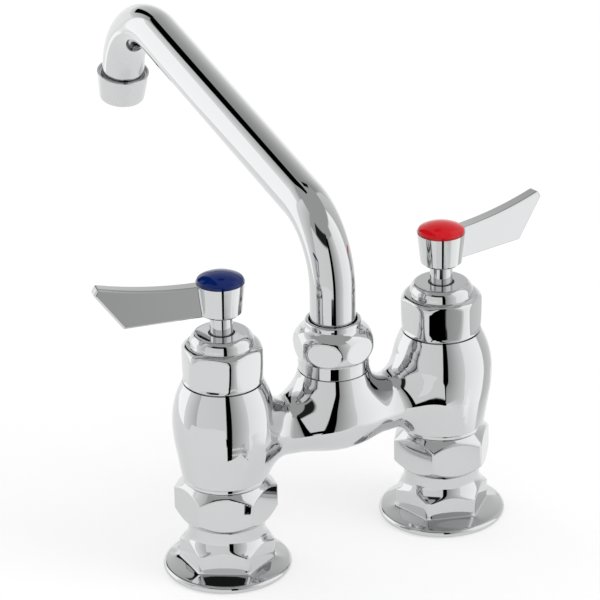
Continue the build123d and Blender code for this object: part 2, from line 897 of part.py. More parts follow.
def spout_tube():
    """Bent tube: riser, first bend, long rising run and a square second bend to the outlet."""
    with BuildPart() as piece:
        with BuildLine(Plane.YZ) as path:
            Line((0, tube_bottom), (0, riser_top))
            TangentArc((0, riser_top), run_start, tangent=(0, 1))
            Line(run_start, run_end)
            TangentArc(run_end, leg_start, tangent=(-cos(slope), sin(slope)))
            Line(leg_start, leg_end)
        with BuildSketch(level(0, tube_bottom)):
            Circle(tube_radius)
            Circle(tube_radius - tube_wall, mode=Mode.SUBTRACT)
        sweep(path=path.wires()[0])
    return piece


def spout_sleeve():
    """Collar on the tube's foot: flange between the washers, barrel with two ring grooves."""
    barrel_radius = hub_bore_radius - sleeve_gap
    socket_radius = tube_radius + brazing_gap
    with BuildPart() as piece:
        with BuildSketch(upright(0)):
            Polygon(
                (sleeve_bore_radius, sleeve_bottom),
                (barrel_radius, sleeve_bottom),
                (barrel_radius, sleeve_flange_bottom),
                (sleeve_flange_radius, sleeve_flange_bottom),
                (sleeve_flange_radius, sleeve_top),
                (socket_radius, sleeve_top),
                (socket_radius, tube_bottom),
                (sleeve_bore_radius, tube_bottom),
                align=None,
            )
        revolve(axis=stack_axis(0))
        for height in sleeve_o_ring_heights:
            with BuildSketch(level(0, height - groove_width / 2)):
                Circle(barrel_radius)
                Circle(barrel_radius - o_ring_section, mode=Mode.SUBTRACT)
            extrude(amount=groove_width, mode=Mode.SUBTRACT)
    return piece


def outlet_level(height):
    """The plane across the outlet's axis at a height above the outlet's rim."""
    origin = (0, outlet[0] + height * sin(slope), outlet[1] + height * cos(slope))
    return Plane(origin=origin, x_dir=(1, 0, 0), z_dir=(0, sin(slope), cos(slope)))


def aerator_housing():
    """Tapered cup round the tube's end, with a recessed rim above and a lip below."""
    bore = tube_radius + face_gap
    foot = (aerator_bottom_radius - aerator_bottom_round, 0)
    side = (aerator_bottom_radius, aerator_bottom_round)
    origin = outlet_level(0).origin
    outlet_side = Plane(origin=origin, x_dir=(1, 0, 0), z_dir=(0, -cos(slope), sin(slope)))
    with BuildPart() as piece:
        with BuildSketch(outlet_side):
            with BuildLine():
                Line((aerator_mouth_radius, 0), foot)
                TangentArc(foot, side, tangent=(1, 0))
                Polyline(
                    side,
                    (aerator_top_radius, aerator_height - aerator_rim_round),
                    (aerator_top_radius - aerator_rim_round, aerator_height),
                    (aerator_rim_radius, aerator_height),
                    (aerator_rim_radius, aerator_height - aerator_rim_depth),
                    (bore, aerator_height - aerator_rim_depth),
                    (bore, aerator_lip),
                    (aerator_mouth_radius, aerator_lip),
                    (aerator_mouth_radius, 0),
                )
            make_face()
        revolve(axis=Axis(origin, (0, sin(slope), cos(slope))))
    return piece


def outlet_ring(inner, outer, bottom, top):
    """A flat ring, or a disc when inner is 0, on the outlet's axis."""
    with BuildPart() as piece:
        with BuildSketch(outlet_level(bottom)):
            Circle(outer)
            if inner > 0:
                Circle(inner, mode=Mode.SUBTRACT)
        extrude(amount=top - bottom)
    return piece


def aerator_insert():
    """Flow straightener: a disc with two rings of holes round a central one."""
    with BuildPart() as piece:
        with BuildSketch(outlet_level(insert_bottom)):
            Circle(tube_radius - seam_gap)
            Circle(aerator_hole_radius, mode=Mode.SUBTRACT)
            with PolarLocations(aerator_hole_ring, 6):
                Circle(aerator_hole_radius, mode=Mode.SUBTRACT)
            with PolarLocations(aerator_hole_ring * 2, 12):
                Circle(aerator_hole_radius, mode=Mode.SUBTRACT)
        extrude(amount=aerator_insert_thickness)
    return piece


os.makedirs("parts", exist_ok=True)

save(body_casting(), "body_casting")
cold_turns = (cold_flange_turn, cold_coupling_turn, cold_bonnet_turn)
hot_turns = (hot_flange_turn, hot_coupling_turn, hot_bonnet_turn)
sides = (
    ("cold", valve_x, -lever_angle, cold_turns),
    ("hot", -valve_x, 180 + lever_angle, hot_turns),
)
for side, x, heading, (flange_turn, coupling_turn, bonnet_turn) in sides:
    cartridge_groove = cartridge_bore_radius - thread_gap - o_ring_section / 2
    stem_groove = stem_radius - o_ring_section / 2
    washer = ring(x, washer_bore, washer_radius, spigot_top, tail_bottom)
    seat_seal = ring(x, seal_bore_radius, disc_radius, seat_height, fixed_disc_bottom)
    body_o_ring = o_rings(x, cartridge_groove, o_ring_section, [cartridge_o_ring_height])
    stem_o_rings = o_rings(x, stem_groove, o_ring_section, stem_o_ring_heights)
    save(deck_flange(x, flange_turn), f"{side}_deck_flange")
    save(coupling_nut(x, coupling_turn), f"{side}_coupling_nut")
    save(washer, f"{side}_coupling_washer")
    save(retaining_ring(x), f"{side}_coupling_retaining_ring")
    save(bonnet(x, bonnet_turn), f"{side}_bonnet")
    save(cartridge_body(x), f"{side}_cartridge_body")
    save(seat_seal, f"{side}_seat_seal")
    save(fixed_disc(x), f"{side}_fixed_disc")
    save(moving_disc(x), f"{side}_moving_disc")
    save(cartridge_stem(x), f"{side}_cartridge_stem")
    save(body_o_ring, f"{side}_cartridge_o_ring")
    save(stem_o_rings, f"{side}_stem_o_rings")
    save(stem_clip(x), f"{side}_stem_clip")
    save(handle(x, heading), f"{side}_handle")
    save(handle_screw(x), f"{side}_handle_screw")
    save(index_cap(x), f"{side}_index_cap")

sleeve_groove = hub_bore_radius - sleeve_gap - o_ring_section / 2
thrust_bore = swivel_mouth_radius + seal_gap
insert_radius = tube_radius - seam_gap
bearing = ring(0, bearing_washer_bore, swivel_washer_radius, hub_thread_top, bearing_washer_top)
thrust = ring(0, thrust_bore, swivel_washer_radius, thrust_washer_bottom, swivel_shoulder)
save(spout_swivel_nut(), "spout_swivel_nut")
save(spout_tube(), "spout_tube")
save(spout_sleeve(), "spout_sleeve")
save(o_rings(0, sleeve_groove, o_ring_section, sleeve_o_ring_heights), "spout_o_rings")
save(bearing, "spout_bearing_washer")
save(thrust, "spout_thrust_washer")
save(aerator_housing(), "aerator_housing")
save(aerator_insert(), "aerator_insert")
save(outlet_ring(0, insert_radius, screen_bottom, screen_top), "aerator_screen")
save(outlet_ring(aerator_washer_bore, insert_radius, screen_top, tube_end), "aerator_washer")
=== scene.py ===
import json
from math import acos, atan2, ceil, cos, hypot, pi, radians, sin, sqrt, tan

import bmesh
import bpy
import numpy as np
from mathutils import Matrix, Vector


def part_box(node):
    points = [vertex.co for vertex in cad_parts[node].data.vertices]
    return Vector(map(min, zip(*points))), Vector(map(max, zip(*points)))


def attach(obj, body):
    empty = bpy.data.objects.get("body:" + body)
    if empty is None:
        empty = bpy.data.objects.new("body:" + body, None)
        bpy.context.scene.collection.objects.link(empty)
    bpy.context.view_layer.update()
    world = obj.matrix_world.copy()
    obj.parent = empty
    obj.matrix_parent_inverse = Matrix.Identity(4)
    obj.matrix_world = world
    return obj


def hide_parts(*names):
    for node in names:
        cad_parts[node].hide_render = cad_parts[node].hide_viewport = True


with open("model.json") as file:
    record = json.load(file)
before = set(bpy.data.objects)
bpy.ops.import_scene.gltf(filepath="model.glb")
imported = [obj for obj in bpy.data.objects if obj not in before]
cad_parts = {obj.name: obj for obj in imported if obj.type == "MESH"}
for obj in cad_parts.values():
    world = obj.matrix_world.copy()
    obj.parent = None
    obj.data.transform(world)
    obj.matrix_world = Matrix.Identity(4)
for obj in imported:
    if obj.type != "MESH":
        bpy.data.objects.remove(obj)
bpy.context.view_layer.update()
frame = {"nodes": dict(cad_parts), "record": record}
nodes = frame["nodes"]
mm = 0.001

# Camera: it stands behind the faucet, on the cold side, and looks down at it.
camera_azimuth = 153.51
camera_elevation = 25.0
camera_roll = -1.05
camera_distance = 1.635
camera_target = Vector((0.01498, 0.0, 0.11343))
camera_lens = 240.0

# Stage sizes in metres, and radiances. White paper in full light is 1.
tent_light = 0.86
room_reflected = 0.46
paper_white = 0.5
paper_glow = 0.5
floor_half = 3.0
table_edge = 0.103
table_back = -0.12
table_left = 0.2
table_right = -0.14
table_fade = 0.05
sheet_height = 0.00001
card_distance = 1.2
near_card_distance = card_distance * 0.98
card_centre = 0.065
lamp_distance = 1.6
lamp_size = 0.8


def direction(azimuth, elevation):
    """Unit vector towards an azimuth (0 is -Y, 90 is +X) and an elevation, in degrees."""
    a, e = radians(azimuth), radians(elevation)
    return Vector((sin(a) * cos(e), -cos(a) * cos(e), sin(e)))


# Materials

def new_material(name):
    """A material with its node tree, its Principled shader and its coordinates."""
    made = bpy.data.materials.new(name)
    made.use_nodes = True
    tree = made.node_tree
    shader = tree.nodes["Principled BSDF"]
    place = tree.nodes.new("ShaderNodeTexCoord")
    return made, tree, shader, place.outputs["Object"]


def noise(tree, place, scale, detail=3.0):
    """The value of a noise texture with features about 1/scale metres across."""
    texture = tree.nodes.new("ShaderNodeTexNoise")
    texture.inputs["Scale"].default_value = scale
    texture.inputs["Detail"].default_value = detail
    tree.links.new(place, texture.inputs["Vector"])
    return texture.outputs["Fac"]


def spread(tree, value, low, high):
    """Maps a noise value to the range low to high."""
    ramp = tree.nodes.new("ShaderNodeMapRange")
    ramp.inputs["From Min"].default_value = 0.3
    ramp.inputs["From Max"].default_value = 0.7
    ramp.inputs["To Min"].default_value = low
    ramp.inputs["To Max"].default_value = high
    tree.links.new(value, ramp.inputs["Value"])
    return ramp.outputs["Result"]


def bump(tree, shader, value, depth):
    """Adds relief of a depth in metres to the shader."""
    relief = tree.nodes.new("ShaderNodeBump")
    relief.inputs["Distance"].default_value = depth
    tree.links.new(value, relief.inputs["Height"])
    tree.links.new(relief.outputs["Normal"], shader.inputs["Normal"])


def metal(name, color, rough, waves=0.0, wave_scale=120.0):
    """Polished or turned metal with a slightly uneven polish and, if asked, a wavy surface."""
    made, tree, shader, place = new_material(name)
    shader.inputs["Base Color"].default_value = (*color, 1)
    shader.inputs["Metallic"].default_value = 1
    polish = spread(tree, noise(tree, place, 60.0), rough[0], rough[1])
    tree.links.new(polish, shader.inputs["Roughness"])
    if waves:
        bump(tree, shader, noise(tree, place, wave_scale, 1.0), waves)
    return made


def plastic(name, dark, light, rough, gloss_level=0.5, speckle=400.0):
    """Moulded plastic or rubber with a faint mottle in its colour and its gloss."""
    made, tree, shader, place = new_material(name)
    mix = tree.nodes.new("ShaderNodeMix")
    mix.data_type = "RGBA"
    mix.inputs["A"].default_value = (*dark, 1)
    mix.inputs["B"].default_value = (*light, 1)
    tree.links.new(spread(tree, noise(tree, place, speckle), 0, 1), mix.inputs["Factor"])
    tree.links.new(mix.outputs["Result"], shader.inputs["Base Color"])
    gloss = spread(tree, noise(tree, place, speckle * 2), rough[0], rough[1])
    tree.links.new(gloss, shader.inputs["Roughness"])
    shader.inputs["Specular IOR Level"].default_value = gloss_level
    return made


chrome = metal("polished_chrome", (0.62, 0.625, 0.63), (0.015, 0.04))
cast_chrome = metal("cast_chrome", (0.62, 0.625, 0.63), (0.015, 0.04), 0.00003, 90.0)
brass = metal("turned_brass", (0.72, 0.53, 0.25), (0.2, 0.35))
steel = metal("brushed_steel", (0.6, 0.6, 0.6), (0.25, 0.4))
dark_steel = metal("dark_steel", (0.05, 0.05, 0.055), (0.3, 0.45))
blue_plastic = plastic("blue_cap", (0.001, 0.012, 0.1), (0.002, 0.015, 0.12), (0.05, 0.08), 0.3)
red_plastic = plastic("red_cap", (0.56, 0.005, 0.01), (0.6, 0.007, 0.013), (0.05, 0.08), 0.3)
ceramic = plastic("ceramic", (0.82, 0.81, 0.77), (0.87, 0.86, 0.82), (0.15, 0.25))
rubber = plastic("rubber", (0.015, 0.015, 0.015), (0.03, 0.03, 0.03), (0.6, 0.8))
white_plastic = plastic("white_plastic", (0.76, 0.76, 0.73), (0.82, 0.82, 0.8), (0.4, 0.5))

finishes = {
    "polished_chrome": chrome,
    "cold_cap": blue_plastic,
    "hot_cap": red_plastic,
    "brass": brass,
    "steel": steel,
    "dark_steel": dark_steel,
    "ceramic": ceramic,
    "rubber": rubber,
    "white_plastic": white_plastic,
}
slot_of = {part["node"]: part["material_slot"] for part in frame["record"]["subparts"]}
for name, node in nodes.items():
    node.data.materials.clear()
    node.data.materials.append(finishes[slot_of[name]])


# Turned and hexagonal pieces. Outlines are (radius, height) in millimetres from the axis.

def arc_through(start, middle, end, steps=10):
    """Points on the arc from start through middle to end, both ends included."""
    (ax, ay), (bx, by), (cx, cy) = start, middle, end
    d = 2 * (ax * (by - cy) + bx * (cy - ay) + cx * (ay - by))
    a2, b2, c2 = ax * ax + ay * ay, bx * bx + by * by, cx * cx + cy * cy
    ox = (a2 * (by - cy) + b2 * (cy - ay) + c2 * (ay - by)) / d
    oy = (a2 * (cx - bx) + b2 * (ax - cx) + c2 * (bx - ax)) / d
    radius = hypot(ax - ox, ay - oy)
    first = atan2(ay - oy, ax - ox)
    via = atan2(by - oy, bx - ox)
    last = atan2(cy - oy, cx - ox)
    turn = (last - first) % (2 * pi)
    if (via - first) % (2 * pi) > turn:
        turn -= 2 * pi
    angles = [first + turn * i / steps for i in range(steps + 1)]
    return [(ox + radius * cos(a), oy + radius * sin(a)) for a in angles]


def arc_from(start, tangent, end, steps=10):
    """Points on the arc that leaves start along the tangent and ends at end."""
    chord = (end[0] - start[0], end[1] - start[1])
    length = hypot(*tangent)
    normal = (-tangent[1] / length, tangent[0] / length)
    away = chord[0] * normal[0] + chord[1] * normal[1]
    radius = (chord[0] ** 2 + chord[1] ** 2) / (2 * away)
    centre = (start[0] + normal[0] * radius, start[1] + normal[1] * radius)
    first = atan2(start[1] - centre[1], start[0] - centre[0])
    last = atan2(end[1] - centre[1], end[0] - centre[0])
    turn = (last - first) % (2 * pi)
    if radius < 0:
        turn -= 2 * pi
    angles = [first + turn * i / steps for i in range(steps + 1)]
    return [(centre[0] + abs(radius) * cos(a), centre[1] + abs(radius) * sin(a)) for a in angles]


def end_tangent(points):
    """Direction in which a run of points ends."""
    return (points[-1][0] - points[-2][0], points[-1][1] - points[-2][1])


def outline(*corners, longest=1.2, steps=5):
    """Samples an outline. A corner is (radius, height) or (radius, height, rounding); a list
    is a run of points that is taken as it is."""
    points = []
    for corner in corners:
        points.extend([(p[0], p[1], 0) for p in corner] if isinstance(corner, list) else [corner])
    points = [p if len(p) == 3 else (*p, 0) for p in points]
    shaped = []
    for i, (x, y, rounding) in enumerate(points):
        if not rounding or i in (0, len(points) - 1):
            shaped.append((x, y))
            continue
        before, after = points[i - 1], points[i + 1]
        u = Vector((before[0] - x, before[1] - y)).normalized()
        v = Vector((after[0] - x, after[1] - y)).normalized()
        half = acos(max(-1, min(1, u.dot(v)))) / 2
        cut = rounding / tan(half)
        middle = (u + v).normalized() * (rounding / sin(half) - rounding)
        corner = Vector((x, y))
        ends = corner + u * cut, corner + v * cut
        shaped += arc_through(ends[0], corner + middle, ends[1], steps)
    fine = [shaped[0]]
    for point in shaped[1:]:
        last = fine[-1]
        step = (point[0] - last[0], point[1] - last[1])
        length = hypot(*step)
        if length < 1e-4:
            continue
        parts = max(1, ceil(length / longest))
        for k in range(1, parts + 1):
            share = k / parts
            fine.append((last[0] + step[0] * share, last[1] + step[1] * share))
    return fine


def soft_min(a, b, k):
    """The smaller of two arrays, with the corner between them rounded over a width k."""
    near = np.maximum(k - np.abs(a - b), 0) / k
    return np.minimum(a, b) - near * near * k / 4


def hexagon_radius(angles, apothem, corner_round, crown):
    """Distance from the axis to a hexagon with rounded corners, in each direction; one corner
    lies at angle 0. A crown is the radius of the slight bulge of each flat."""
    half = pi / 6
    off = np.abs(angles % (2 * half) - half)
    if crown:
        behind = crown - apothem
        flat = np.sqrt(crown ** 2 - (behind * np.sin(off)) ** 2) - behind * np.cos(off)
        centre = sqrt((crown - corner_round) ** 2 - (behind * sin(half)) ** 2) - behind * cos(half)
        lean = atan2(centre * sin(half), behind + centre * cos(half))
        edge = atan2(crown * sin(lean), crown * cos(lean) - behind)
    else:
        flat = apothem / np.cos(off)
        centre = (apothem - corner_round) / cos(half)
        edge = atan2((apothem - corner_round) * tan(half), apothem)
    aside = centre * np.sin(half - off)
    corner = centre * np.cos(half - off) + np.sqrt(np.maximum(corner_round ** 2 - aside ** 2, 0))
    return np.where(off > edge, corner, flat)


def smooth_normals(grid, closed):
    """Unit normals of a grid of points (rows along the outline, columns round the axis)."""
    round_axis = np.roll(grid, -1, axis=1) - np.roll(grid, 1, axis=1)
    along = np.gradient(grid, axis=0)
    if closed:
        along = np.roll(grid, -1, axis=0) - np.roll(grid, 1, axis=0)
    normals = np.cross(round_axis, along)
    length = np.linalg.norm(normals, axis=2, keepdims=True)
    return normals / np.maximum(length, 1e-12)


def link_mesh(name, vertices, faces, normals, finish):
    """A mesh object in metres, with given vertex normals and a material."""
    mesh = bpy.data.meshes.new(name)
    mesh.from_pydata(vertices, [], faces)
    mesh.materials.append(finish)
    mesh.shade_smooth()
    if normals is not None:
        mesh.normals_split_custom_set_from_vertices([tuple(n) for n in normals])
    piece = bpy.data.objects.new(name, mesh)
    bpy.context.collection.objects.link(piece)
    return piece


def turned(points, steps=192, hexagon=None, root=None):
    """Vertices, faces and normals of a body turned about the Z axis, in millimetres. A hexagon
    is (apothem, corner rounding, crown, edge softness, turn in degrees, lowest, highest). Below
    root, which is (corner radius, plate radius), the outline moves in with the hexagon."""
    closed = hypot(points[0][0] - points[-1][0], points[0][1] - points[-1][1]) < 1e-6
    if closed:
        points = points[:-1]
    radii = np.array([p[0] for p in points])[:, None]
    heights = np.array([p[1] for p in points])[:, None]
    angles = (np.arange(steps) * 2 * pi / steps)[None, :]
    ring = np.repeat(radii, steps, axis=1)
    if hexagon:
        apothem, corner_round, crown, softness, turn, lowest, highest = hexagon
        limit = hexagon_radius(angles - radians(turn), apothem, corner_round, crown)
        cut = soft_min(ring, np.repeat(limit, len(points), axis=0), softness)
        inside = (heights >= lowest) & (heights <= highest) & (radii > apothem * 0.9)
        if root:
            corner, plate = root
            share = np.clip((plate - radii) / (plate - corner), 0, 1)
            share = share * share * (3 - 2 * share)
            moved = ring + (soft_min(np.full_like(limit, corner), limit, softness) - corner) * share
            on_plate = (heights < lowest) & (radii >= corner - 1e-6)
            ring = np.where(on_plate, moved, ring)
        ring = np.where(inside, cut, ring)
    levels = np.repeat(heights, steps, axis=1)
    grid = np.stack([ring * np.cos(angles), ring * np.sin(angles), levels], axis=2)
    normals = smooth_normals(grid, closed)
    for row, at in ((0, 1), (-1, -2)):
        if points[row][0] < 1e-6:
            normals[row] = (0, 0, -1 if points[row][1] <= points[at][1] else 1)
    rows = len(points)
    names = np.arange(rows * steps).reshape(rows, steps)
    for row in (0, -1):
        if points[row][0] < 1e-6:
            names[row] = names[row, 0]
    faces = []
    for i in range(rows if closed else rows - 1):
        low, high = names[i], names[(i + 1) % rows]
        for k in range(steps):
            m = (k + 1) % steps
            loop = (low[k], low[m], high[m], high[k])
            faces.append(tuple(dict.fromkeys(int(v) for v in loop)))
    used = np.unique(names)
    renamed = {int(v): i for i, v in enumerate(used)}
    faces = [tuple(renamed[v] for v in face) for face in faces]
    return grid.reshape(-1, 3)[used], faces, normals.reshape(-1, 3)[used]


def place(name, shape, origin, finish, matrix=None):
    """Links a turned shape with its axis through an origin in millimetres."""
    vertices, faces, normals = shape
    if matrix is not None:
        turn = np.array(matrix)
        vertices, normals = vertices @ turn.T, normals @ turn.T
    vertices = (vertices + np.array(origin)) * mm
    return link_mesh(name, vertices.tolist(), faces, normals, finish)


# Sizes in millimetres, as in the CAD source. Heights come from the frame where a node gives them.

inlet_x = 50.8
sides = {"cold": inlet_x, "hot": -inlet_x}
# Each nut and flange stands at its own turn about its axis, in degrees.
flange_turn = {"cold": 30.0, "hot": 45.0}
coupling_turn = {"cold": 34.5, "hot": 52.0}
bonnet_turn = {"cold": 19.0, "hot": 39.0}
swivel_turn = 19.0
# Slope of the spout's long run. The aerator leans by the same angle.
slope = radians(10.6)
# Casting: foot and shoulder of the valve bodies, seam of the hub, axis and end of the bridge,
# and the round between them all.
body_foot = 43.6
body_shoulder = 85.7
hub_seam = 79.6
bridge_axis = 58.3
bridge_end = 46.0
saddle_round = 7.5  # a little softer than the solid's


def span(node):
    """Lowest and highest height of a node, in millimetres."""
    low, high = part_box(node)
    return low[2] / mm, high[2] / mm


def stand_for(piece, node, body):
    """The piece takes the node's place on its body."""
    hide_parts(node)
    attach(piece, body)


def make_flange(side):
    """Round plate, hexagon that runs up into a bell, neck and spigot."""
    apothem = 17.5
    corner = apothem * 2 / sqrt(3) - 0.3
    root, hex_top, neck_foot, neck_top, top = 4.6, 12.2, 18.6, 22.8, span(f"{side}_deck_flange")[1]
    bell = arc_through((corner, hex_top), (17.1, 15.0), (16.0, neck_foot), 12)
    points = outline(
        (9.3, 17.0), (9.3, 0.4), (9.7, 0), (24.6, 0),
        arc_through((25.1, 0), (26.7, 1.6), (25.1, 3.2), 14),
        (corner, root, 1.4),
        bell,
        (16.0, neck_top, 0.4), (14.5, neck_top), (14.5, top - 0.8), (13.7, top), (7.3, top),
        (7.3, 19.0), (9.3, 17.0),
        longest=0.9,
    )
    hexagon = (apothem, 1.6, 0, 0.7, flange_turn[side], root, neck_foot)
    shape = turned(points, 240, hexagon, root=(corner, 25.0))
    piece = place(f"{side}_flange_shell", shape, (sides[side], 0, 0), chrome)
    stand_for(piece, f"{side}_deck_flange", "base")


def make_coupling(side):
    """Hexagon union nut with a turned lead at both faces."""
    low, high = span(f"{side}_coupling_nut")
    apothem, lead_radius = 18.65, 17.0
    corner = apothem * 2 / sqrt(3)
    lead = corner - lead_radius
    shoulder = high - 3.6
    points = outline(
        (14.6, low + 0.3), (14.9, low), (lead_radius, low, 0.5), (corner, low + lead),
        (corner, high - lead), (lead_radius, high, 0.5), (13.4, high, 0.3), (13.0, high - 0.4),
        (13.0, shoulder), (14.6, shoulder), (14.6, low + 0.3),
        longest=0.7,
    )
    hexagon = (apothem, 0.35, 0, 0.45, coupling_turn[side], low, high)
    shape = turned(points, 288, hexagon)
    piece = place(f"{side}_union_nut", shape, (sides[side], 0, 0), chrome)
    stand_for(piece, f"{side}_coupling_nut", "base")


def make_bonnet(side):
    """Barrel hexagon with a ledge and a raised face round the stem."""
    low, high = span(f"{side}_bonnet")
    foot, belly, ledge_radius = 16.5, 17.2, 13.7
    shoulder, ledge = low + 12.8, low + 16.4
    flank = list(reversed(arc_from((belly, shoulder), (0, -1), (foot, low + 0.35), 14)))
    dome = arc_from((belly, shoulder), (0, 1), (ledge_radius, ledge), 14)
    crown = arc_from((13.2, high - 3.8), (0, 1), (11.3, high - 0.15), 14)
    points = outline(
        (14.7, low + 0.3), (15.0, low), (foot - 0.35, low), flank, dome,
        (13.35, ledge + 0.02, 0.12), crown, (10.9, high), (5.6, high, 0.15), (5.4, high - 0.3),
        (5.4, high - 1.0), (6.2, high - 1.0), (6.2, high - 11.8), (14.7, high - 11.8),
        (14.7, low + 0.3),
        longest=0.8,
    )
    hexagon = (15.8, 5.5, 75.0, 0.5, bonnet_turn[side], low + 1.2, ledge)
    shape = turned(points, 288, hexagon)
    piece = place(f"{side}_bonnet_shell", shape, (sides[side], 0, 0), chrome)
    stand_for(piece, f"{side}_bonnet", "base")


def make_swivel_nut():
    """Barrel nut with six oval flats, a concave neck and a rounded lip."""
    low, high = span("spout_swivel_nut")
    skirt, belly, lip, mouth = 14.8, 17.0, 11.8, 10.1
    barrel = arc_through((skirt, low + 5.7), (belly, low + 11.0), (12.8, high - 3.4), 26)
    points = outline(
        (13.6, low + 0.3), (13.9, low), (skirt, low, 0.25), (skirt, low + 5.4), barrel,
        (lip, high - 2.4, 0.3), (lip, high, 1.0), (mouth, high, 0.5), (mouth, high - 9.0),
        (13.6, high - 9.0), (13.6, low + 0.3),
        longest=0.7,
    )
    hexagon = (15.33, 0.5, 0, 0.3, swivel_turn, low, high)
    piece = place("swivel_nut_shell", turned(points, 288, hexagon), (0, 0, 0), chrome)
    stand_for(piece, "spout_swivel_nut", "base")


def make_tube():
    """Bent tube, swept along straight runs and arcs in the plane x = 0."""
    radius, inner = 9.525, 8.325
    first_bend, second_bend, riser_top, leg = 31.2, 33.8, 114.8, 10.8
    low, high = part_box("spout_tube")
    foot = low[2] / mm
    run_start = (-first_bend * (1 - sin(slope)), riser_top + first_bend * cos(slope))
    crest = high[2] / mm - radius
    along = (-cos(slope), sin(slope))
    top_of_bend = second_bend * (1 - cos(slope))
    rise = crest - top_of_bend - run_start[1]
    run = rise / sin(slope)
    run_end = (run_start[0] + along[0] * run, run_start[1] + along[1] * run)
    leg_start = (
        run_end[0] - second_bend * (sin(slope) + cos(slope)),
        run_end[1] + second_bend * (sin(slope) - cos(slope)),
    )
    leg_end = (leg_start[0] - leg * sin(slope), leg_start[1] - leg * cos(slope))
    path = outline(
        (0, foot), (0, riser_top - 0.5),
        arc_from((0, riser_top), (0, 1), run_start, 36),
        arc_from(run_end, along, leg_start, 40),
        leg_end,
        longest=4.0,
    )
    steps = 96
    rings = np.array(path)
    ahead = np.gradient(rings, axis=0)
    ahead /= np.linalg.norm(ahead, axis=1, keepdims=True)
    angles = np.arange(steps) * 2 * pi / steps
    vertices = []
    for wall, order in ((radius, range(len(path))), (inner, reversed(range(len(path))))):
        for i in order:
            out = np.array((0, -ahead[i][1], ahead[i][0]))
            for a in angles:
                away = np.array((cos(a), 0, 0)) + out * sin(a)
                vertices.append(((np.array((0, *rings[i])) + away * wall) * mm).tolist())
    rows = 2 * len(path)
    faces = []
    for i in range(rows):
        j = (i + 1) % rows
        for k in range(steps):
            m = (k + 1) % steps
            faces.append((i * steps + k, j * steps + k, j * steps + m, i * steps + m))
    piece = link_mesh("spout_tube_shell", vertices, faces, None, chrome)
    sharp_ends(piece, len(path), steps)
    stand_for(piece, "spout_tube", "spout")


def sharp_ends(piece, rows, steps):
    """Marks the edges at the two ends of a tube as sharp."""
    mesh = piece.data
    ends = (0, rows - 1, rows, 2 * rows - 1)
    for edge in mesh.edges:
        a, b = edge.vertices
        if a // steps == b // steps and a // steps in ends:
            edge.use_edge_sharp = True


def make_aerator():
    """Tapered cup round the tube's end, with a smooth wall and a recessed rim. It leans by the
    slope of the spout, and the middle of its box lies where the node's does."""
    top, bottom, height = 11.7, 10.1, 13.6
    low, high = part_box("aerator_housing")
    middle_y, middle_z = (low[1] + high[1]) / 2 / mm, (low[2] + high[2]) / 2 / mm
    points = outline(
        (7.8, 0.2), (8.0, 0), (bottom, 0, 1.4), (top, height - 0.3), (top, height, 0.3),
        (10.7, height, 0.25), (10.7, height - 1.2), (9.6, height - 1.2), (9.6, 1.4), (7.8, 1.4),
        (7.8, 0.2),
        longest=0.8,
    )
    across, up = sin(slope), cos(slope)
    leaning = [
        (side * r * up + z * across, z * up - side * r * across)
        for r, z in points for side in (1, -1)
    ]
    centre_y, centre_z = [(max(values) + min(values)) / 2 for values in zip(*leaning)]
    origin = (0, middle_y - centre_y, middle_z - centre_z)
    matrix = ((1, 0, 0), (0, cos(slope), sin(slope)), (0, -sin(slope), cos(slope)))
    piece = place("aerator_cup", turned(points, 192), origin, chrome, matrix)
    stand_for(piece, "aerator_housing", "spout")


# The casting: distances to turned bodies and to the bridge, joined with round fillets

def side_profile(points):
    """Radius and flank angle of a turned body at any height, from its outline."""
    heights = np.array([p[1] for p in points])
    radii = np.array([p[0] for p in points])
    order = np.argsort(heights)
    heights, radii = heights[order], radii[order]
    leans = np.cos(np.arctan(np.gradient(radii, heights)))
    return lambda z: (np.interp(z, heights, radii), np.interp(z, heights, leans))


def stack_outline():
    """Side of a valve body from foot to shoulder."""
    foot, shoulder = (18.05, body_foot), (16.6, body_shoulder)
    taper, belly = (20.4, 57.4), (21.3, 67.4)
    lower = arc_from(taper, (taper[0] - foot[0], taper[1] - foot[1]), belly, 60)
    upper = arc_from(belly, end_tangent(lower), shoulder, 90)
    below = (foot[0] - (taper[0] - foot[0]) * 0.8, foot[1] - (taper[1] - foot[1]) * 0.8)
    lean = end_tangent(upper)
    above = (shoulder[0] + lean[0] / lean[1] * 8, shoulder[1] + 8)
    return [below, foot] + lower + upper[1:] + [above]


def hub_side():
    """Side of the spout hub: a cone, and the round below it as a circle (radius, height, size)."""
    seam, flare, flat = (14.9, hub_seam), (18.2, 67.0), (9.0, 48.9)
    tangent = (flare[0] - seam[0], flare[1] - seam[1])
    chord = (flat[0] - flare[0], flat[1] - flare[1])
    length = hypot(*tangent)
    normal = (tangent[1] / length, -tangent[0] / length)
    size = (chord[0] ** 2 + chord[1] ** 2) / (2 * (chord[0] * normal[0] + chord[1] * normal[1]))
    return seam, flare, (flare[0] + normal[0] * size, flare[1] + normal[1] * size, size)


def bridge_sections(x):
    """Half width and half height of the bridge at x, from the hub, waist and end sections."""
    waist_x, end_x = 24.3, 42.0
    result = []
    for hub, waist, end in ((17.0, 12.5, 16.5), (12.7, 12.2, 13.2)):
        a, b = waist - hub, end - hub
        fourth = (b / end_x ** 2 - a / waist_x ** 2) / (end_x ** 2 - waist_x ** 2)
        second = a / waist_x ** 2 - fourth * waist_x ** 2
        s = np.minimum(np.abs(x), end_x)
        result.append(hub + second * s ** 2 + fourth * s ** 4)
    return result


def fillet_union(a, b, radius):
    """Distance to two joined bodies with a round fillet between them."""
    u, v = np.maximum(radius - a, 0), np.maximum(radius - b, 0)
    return np.maximum(radius, np.minimum(a, b)) - np.sqrt(u * u + v * v)


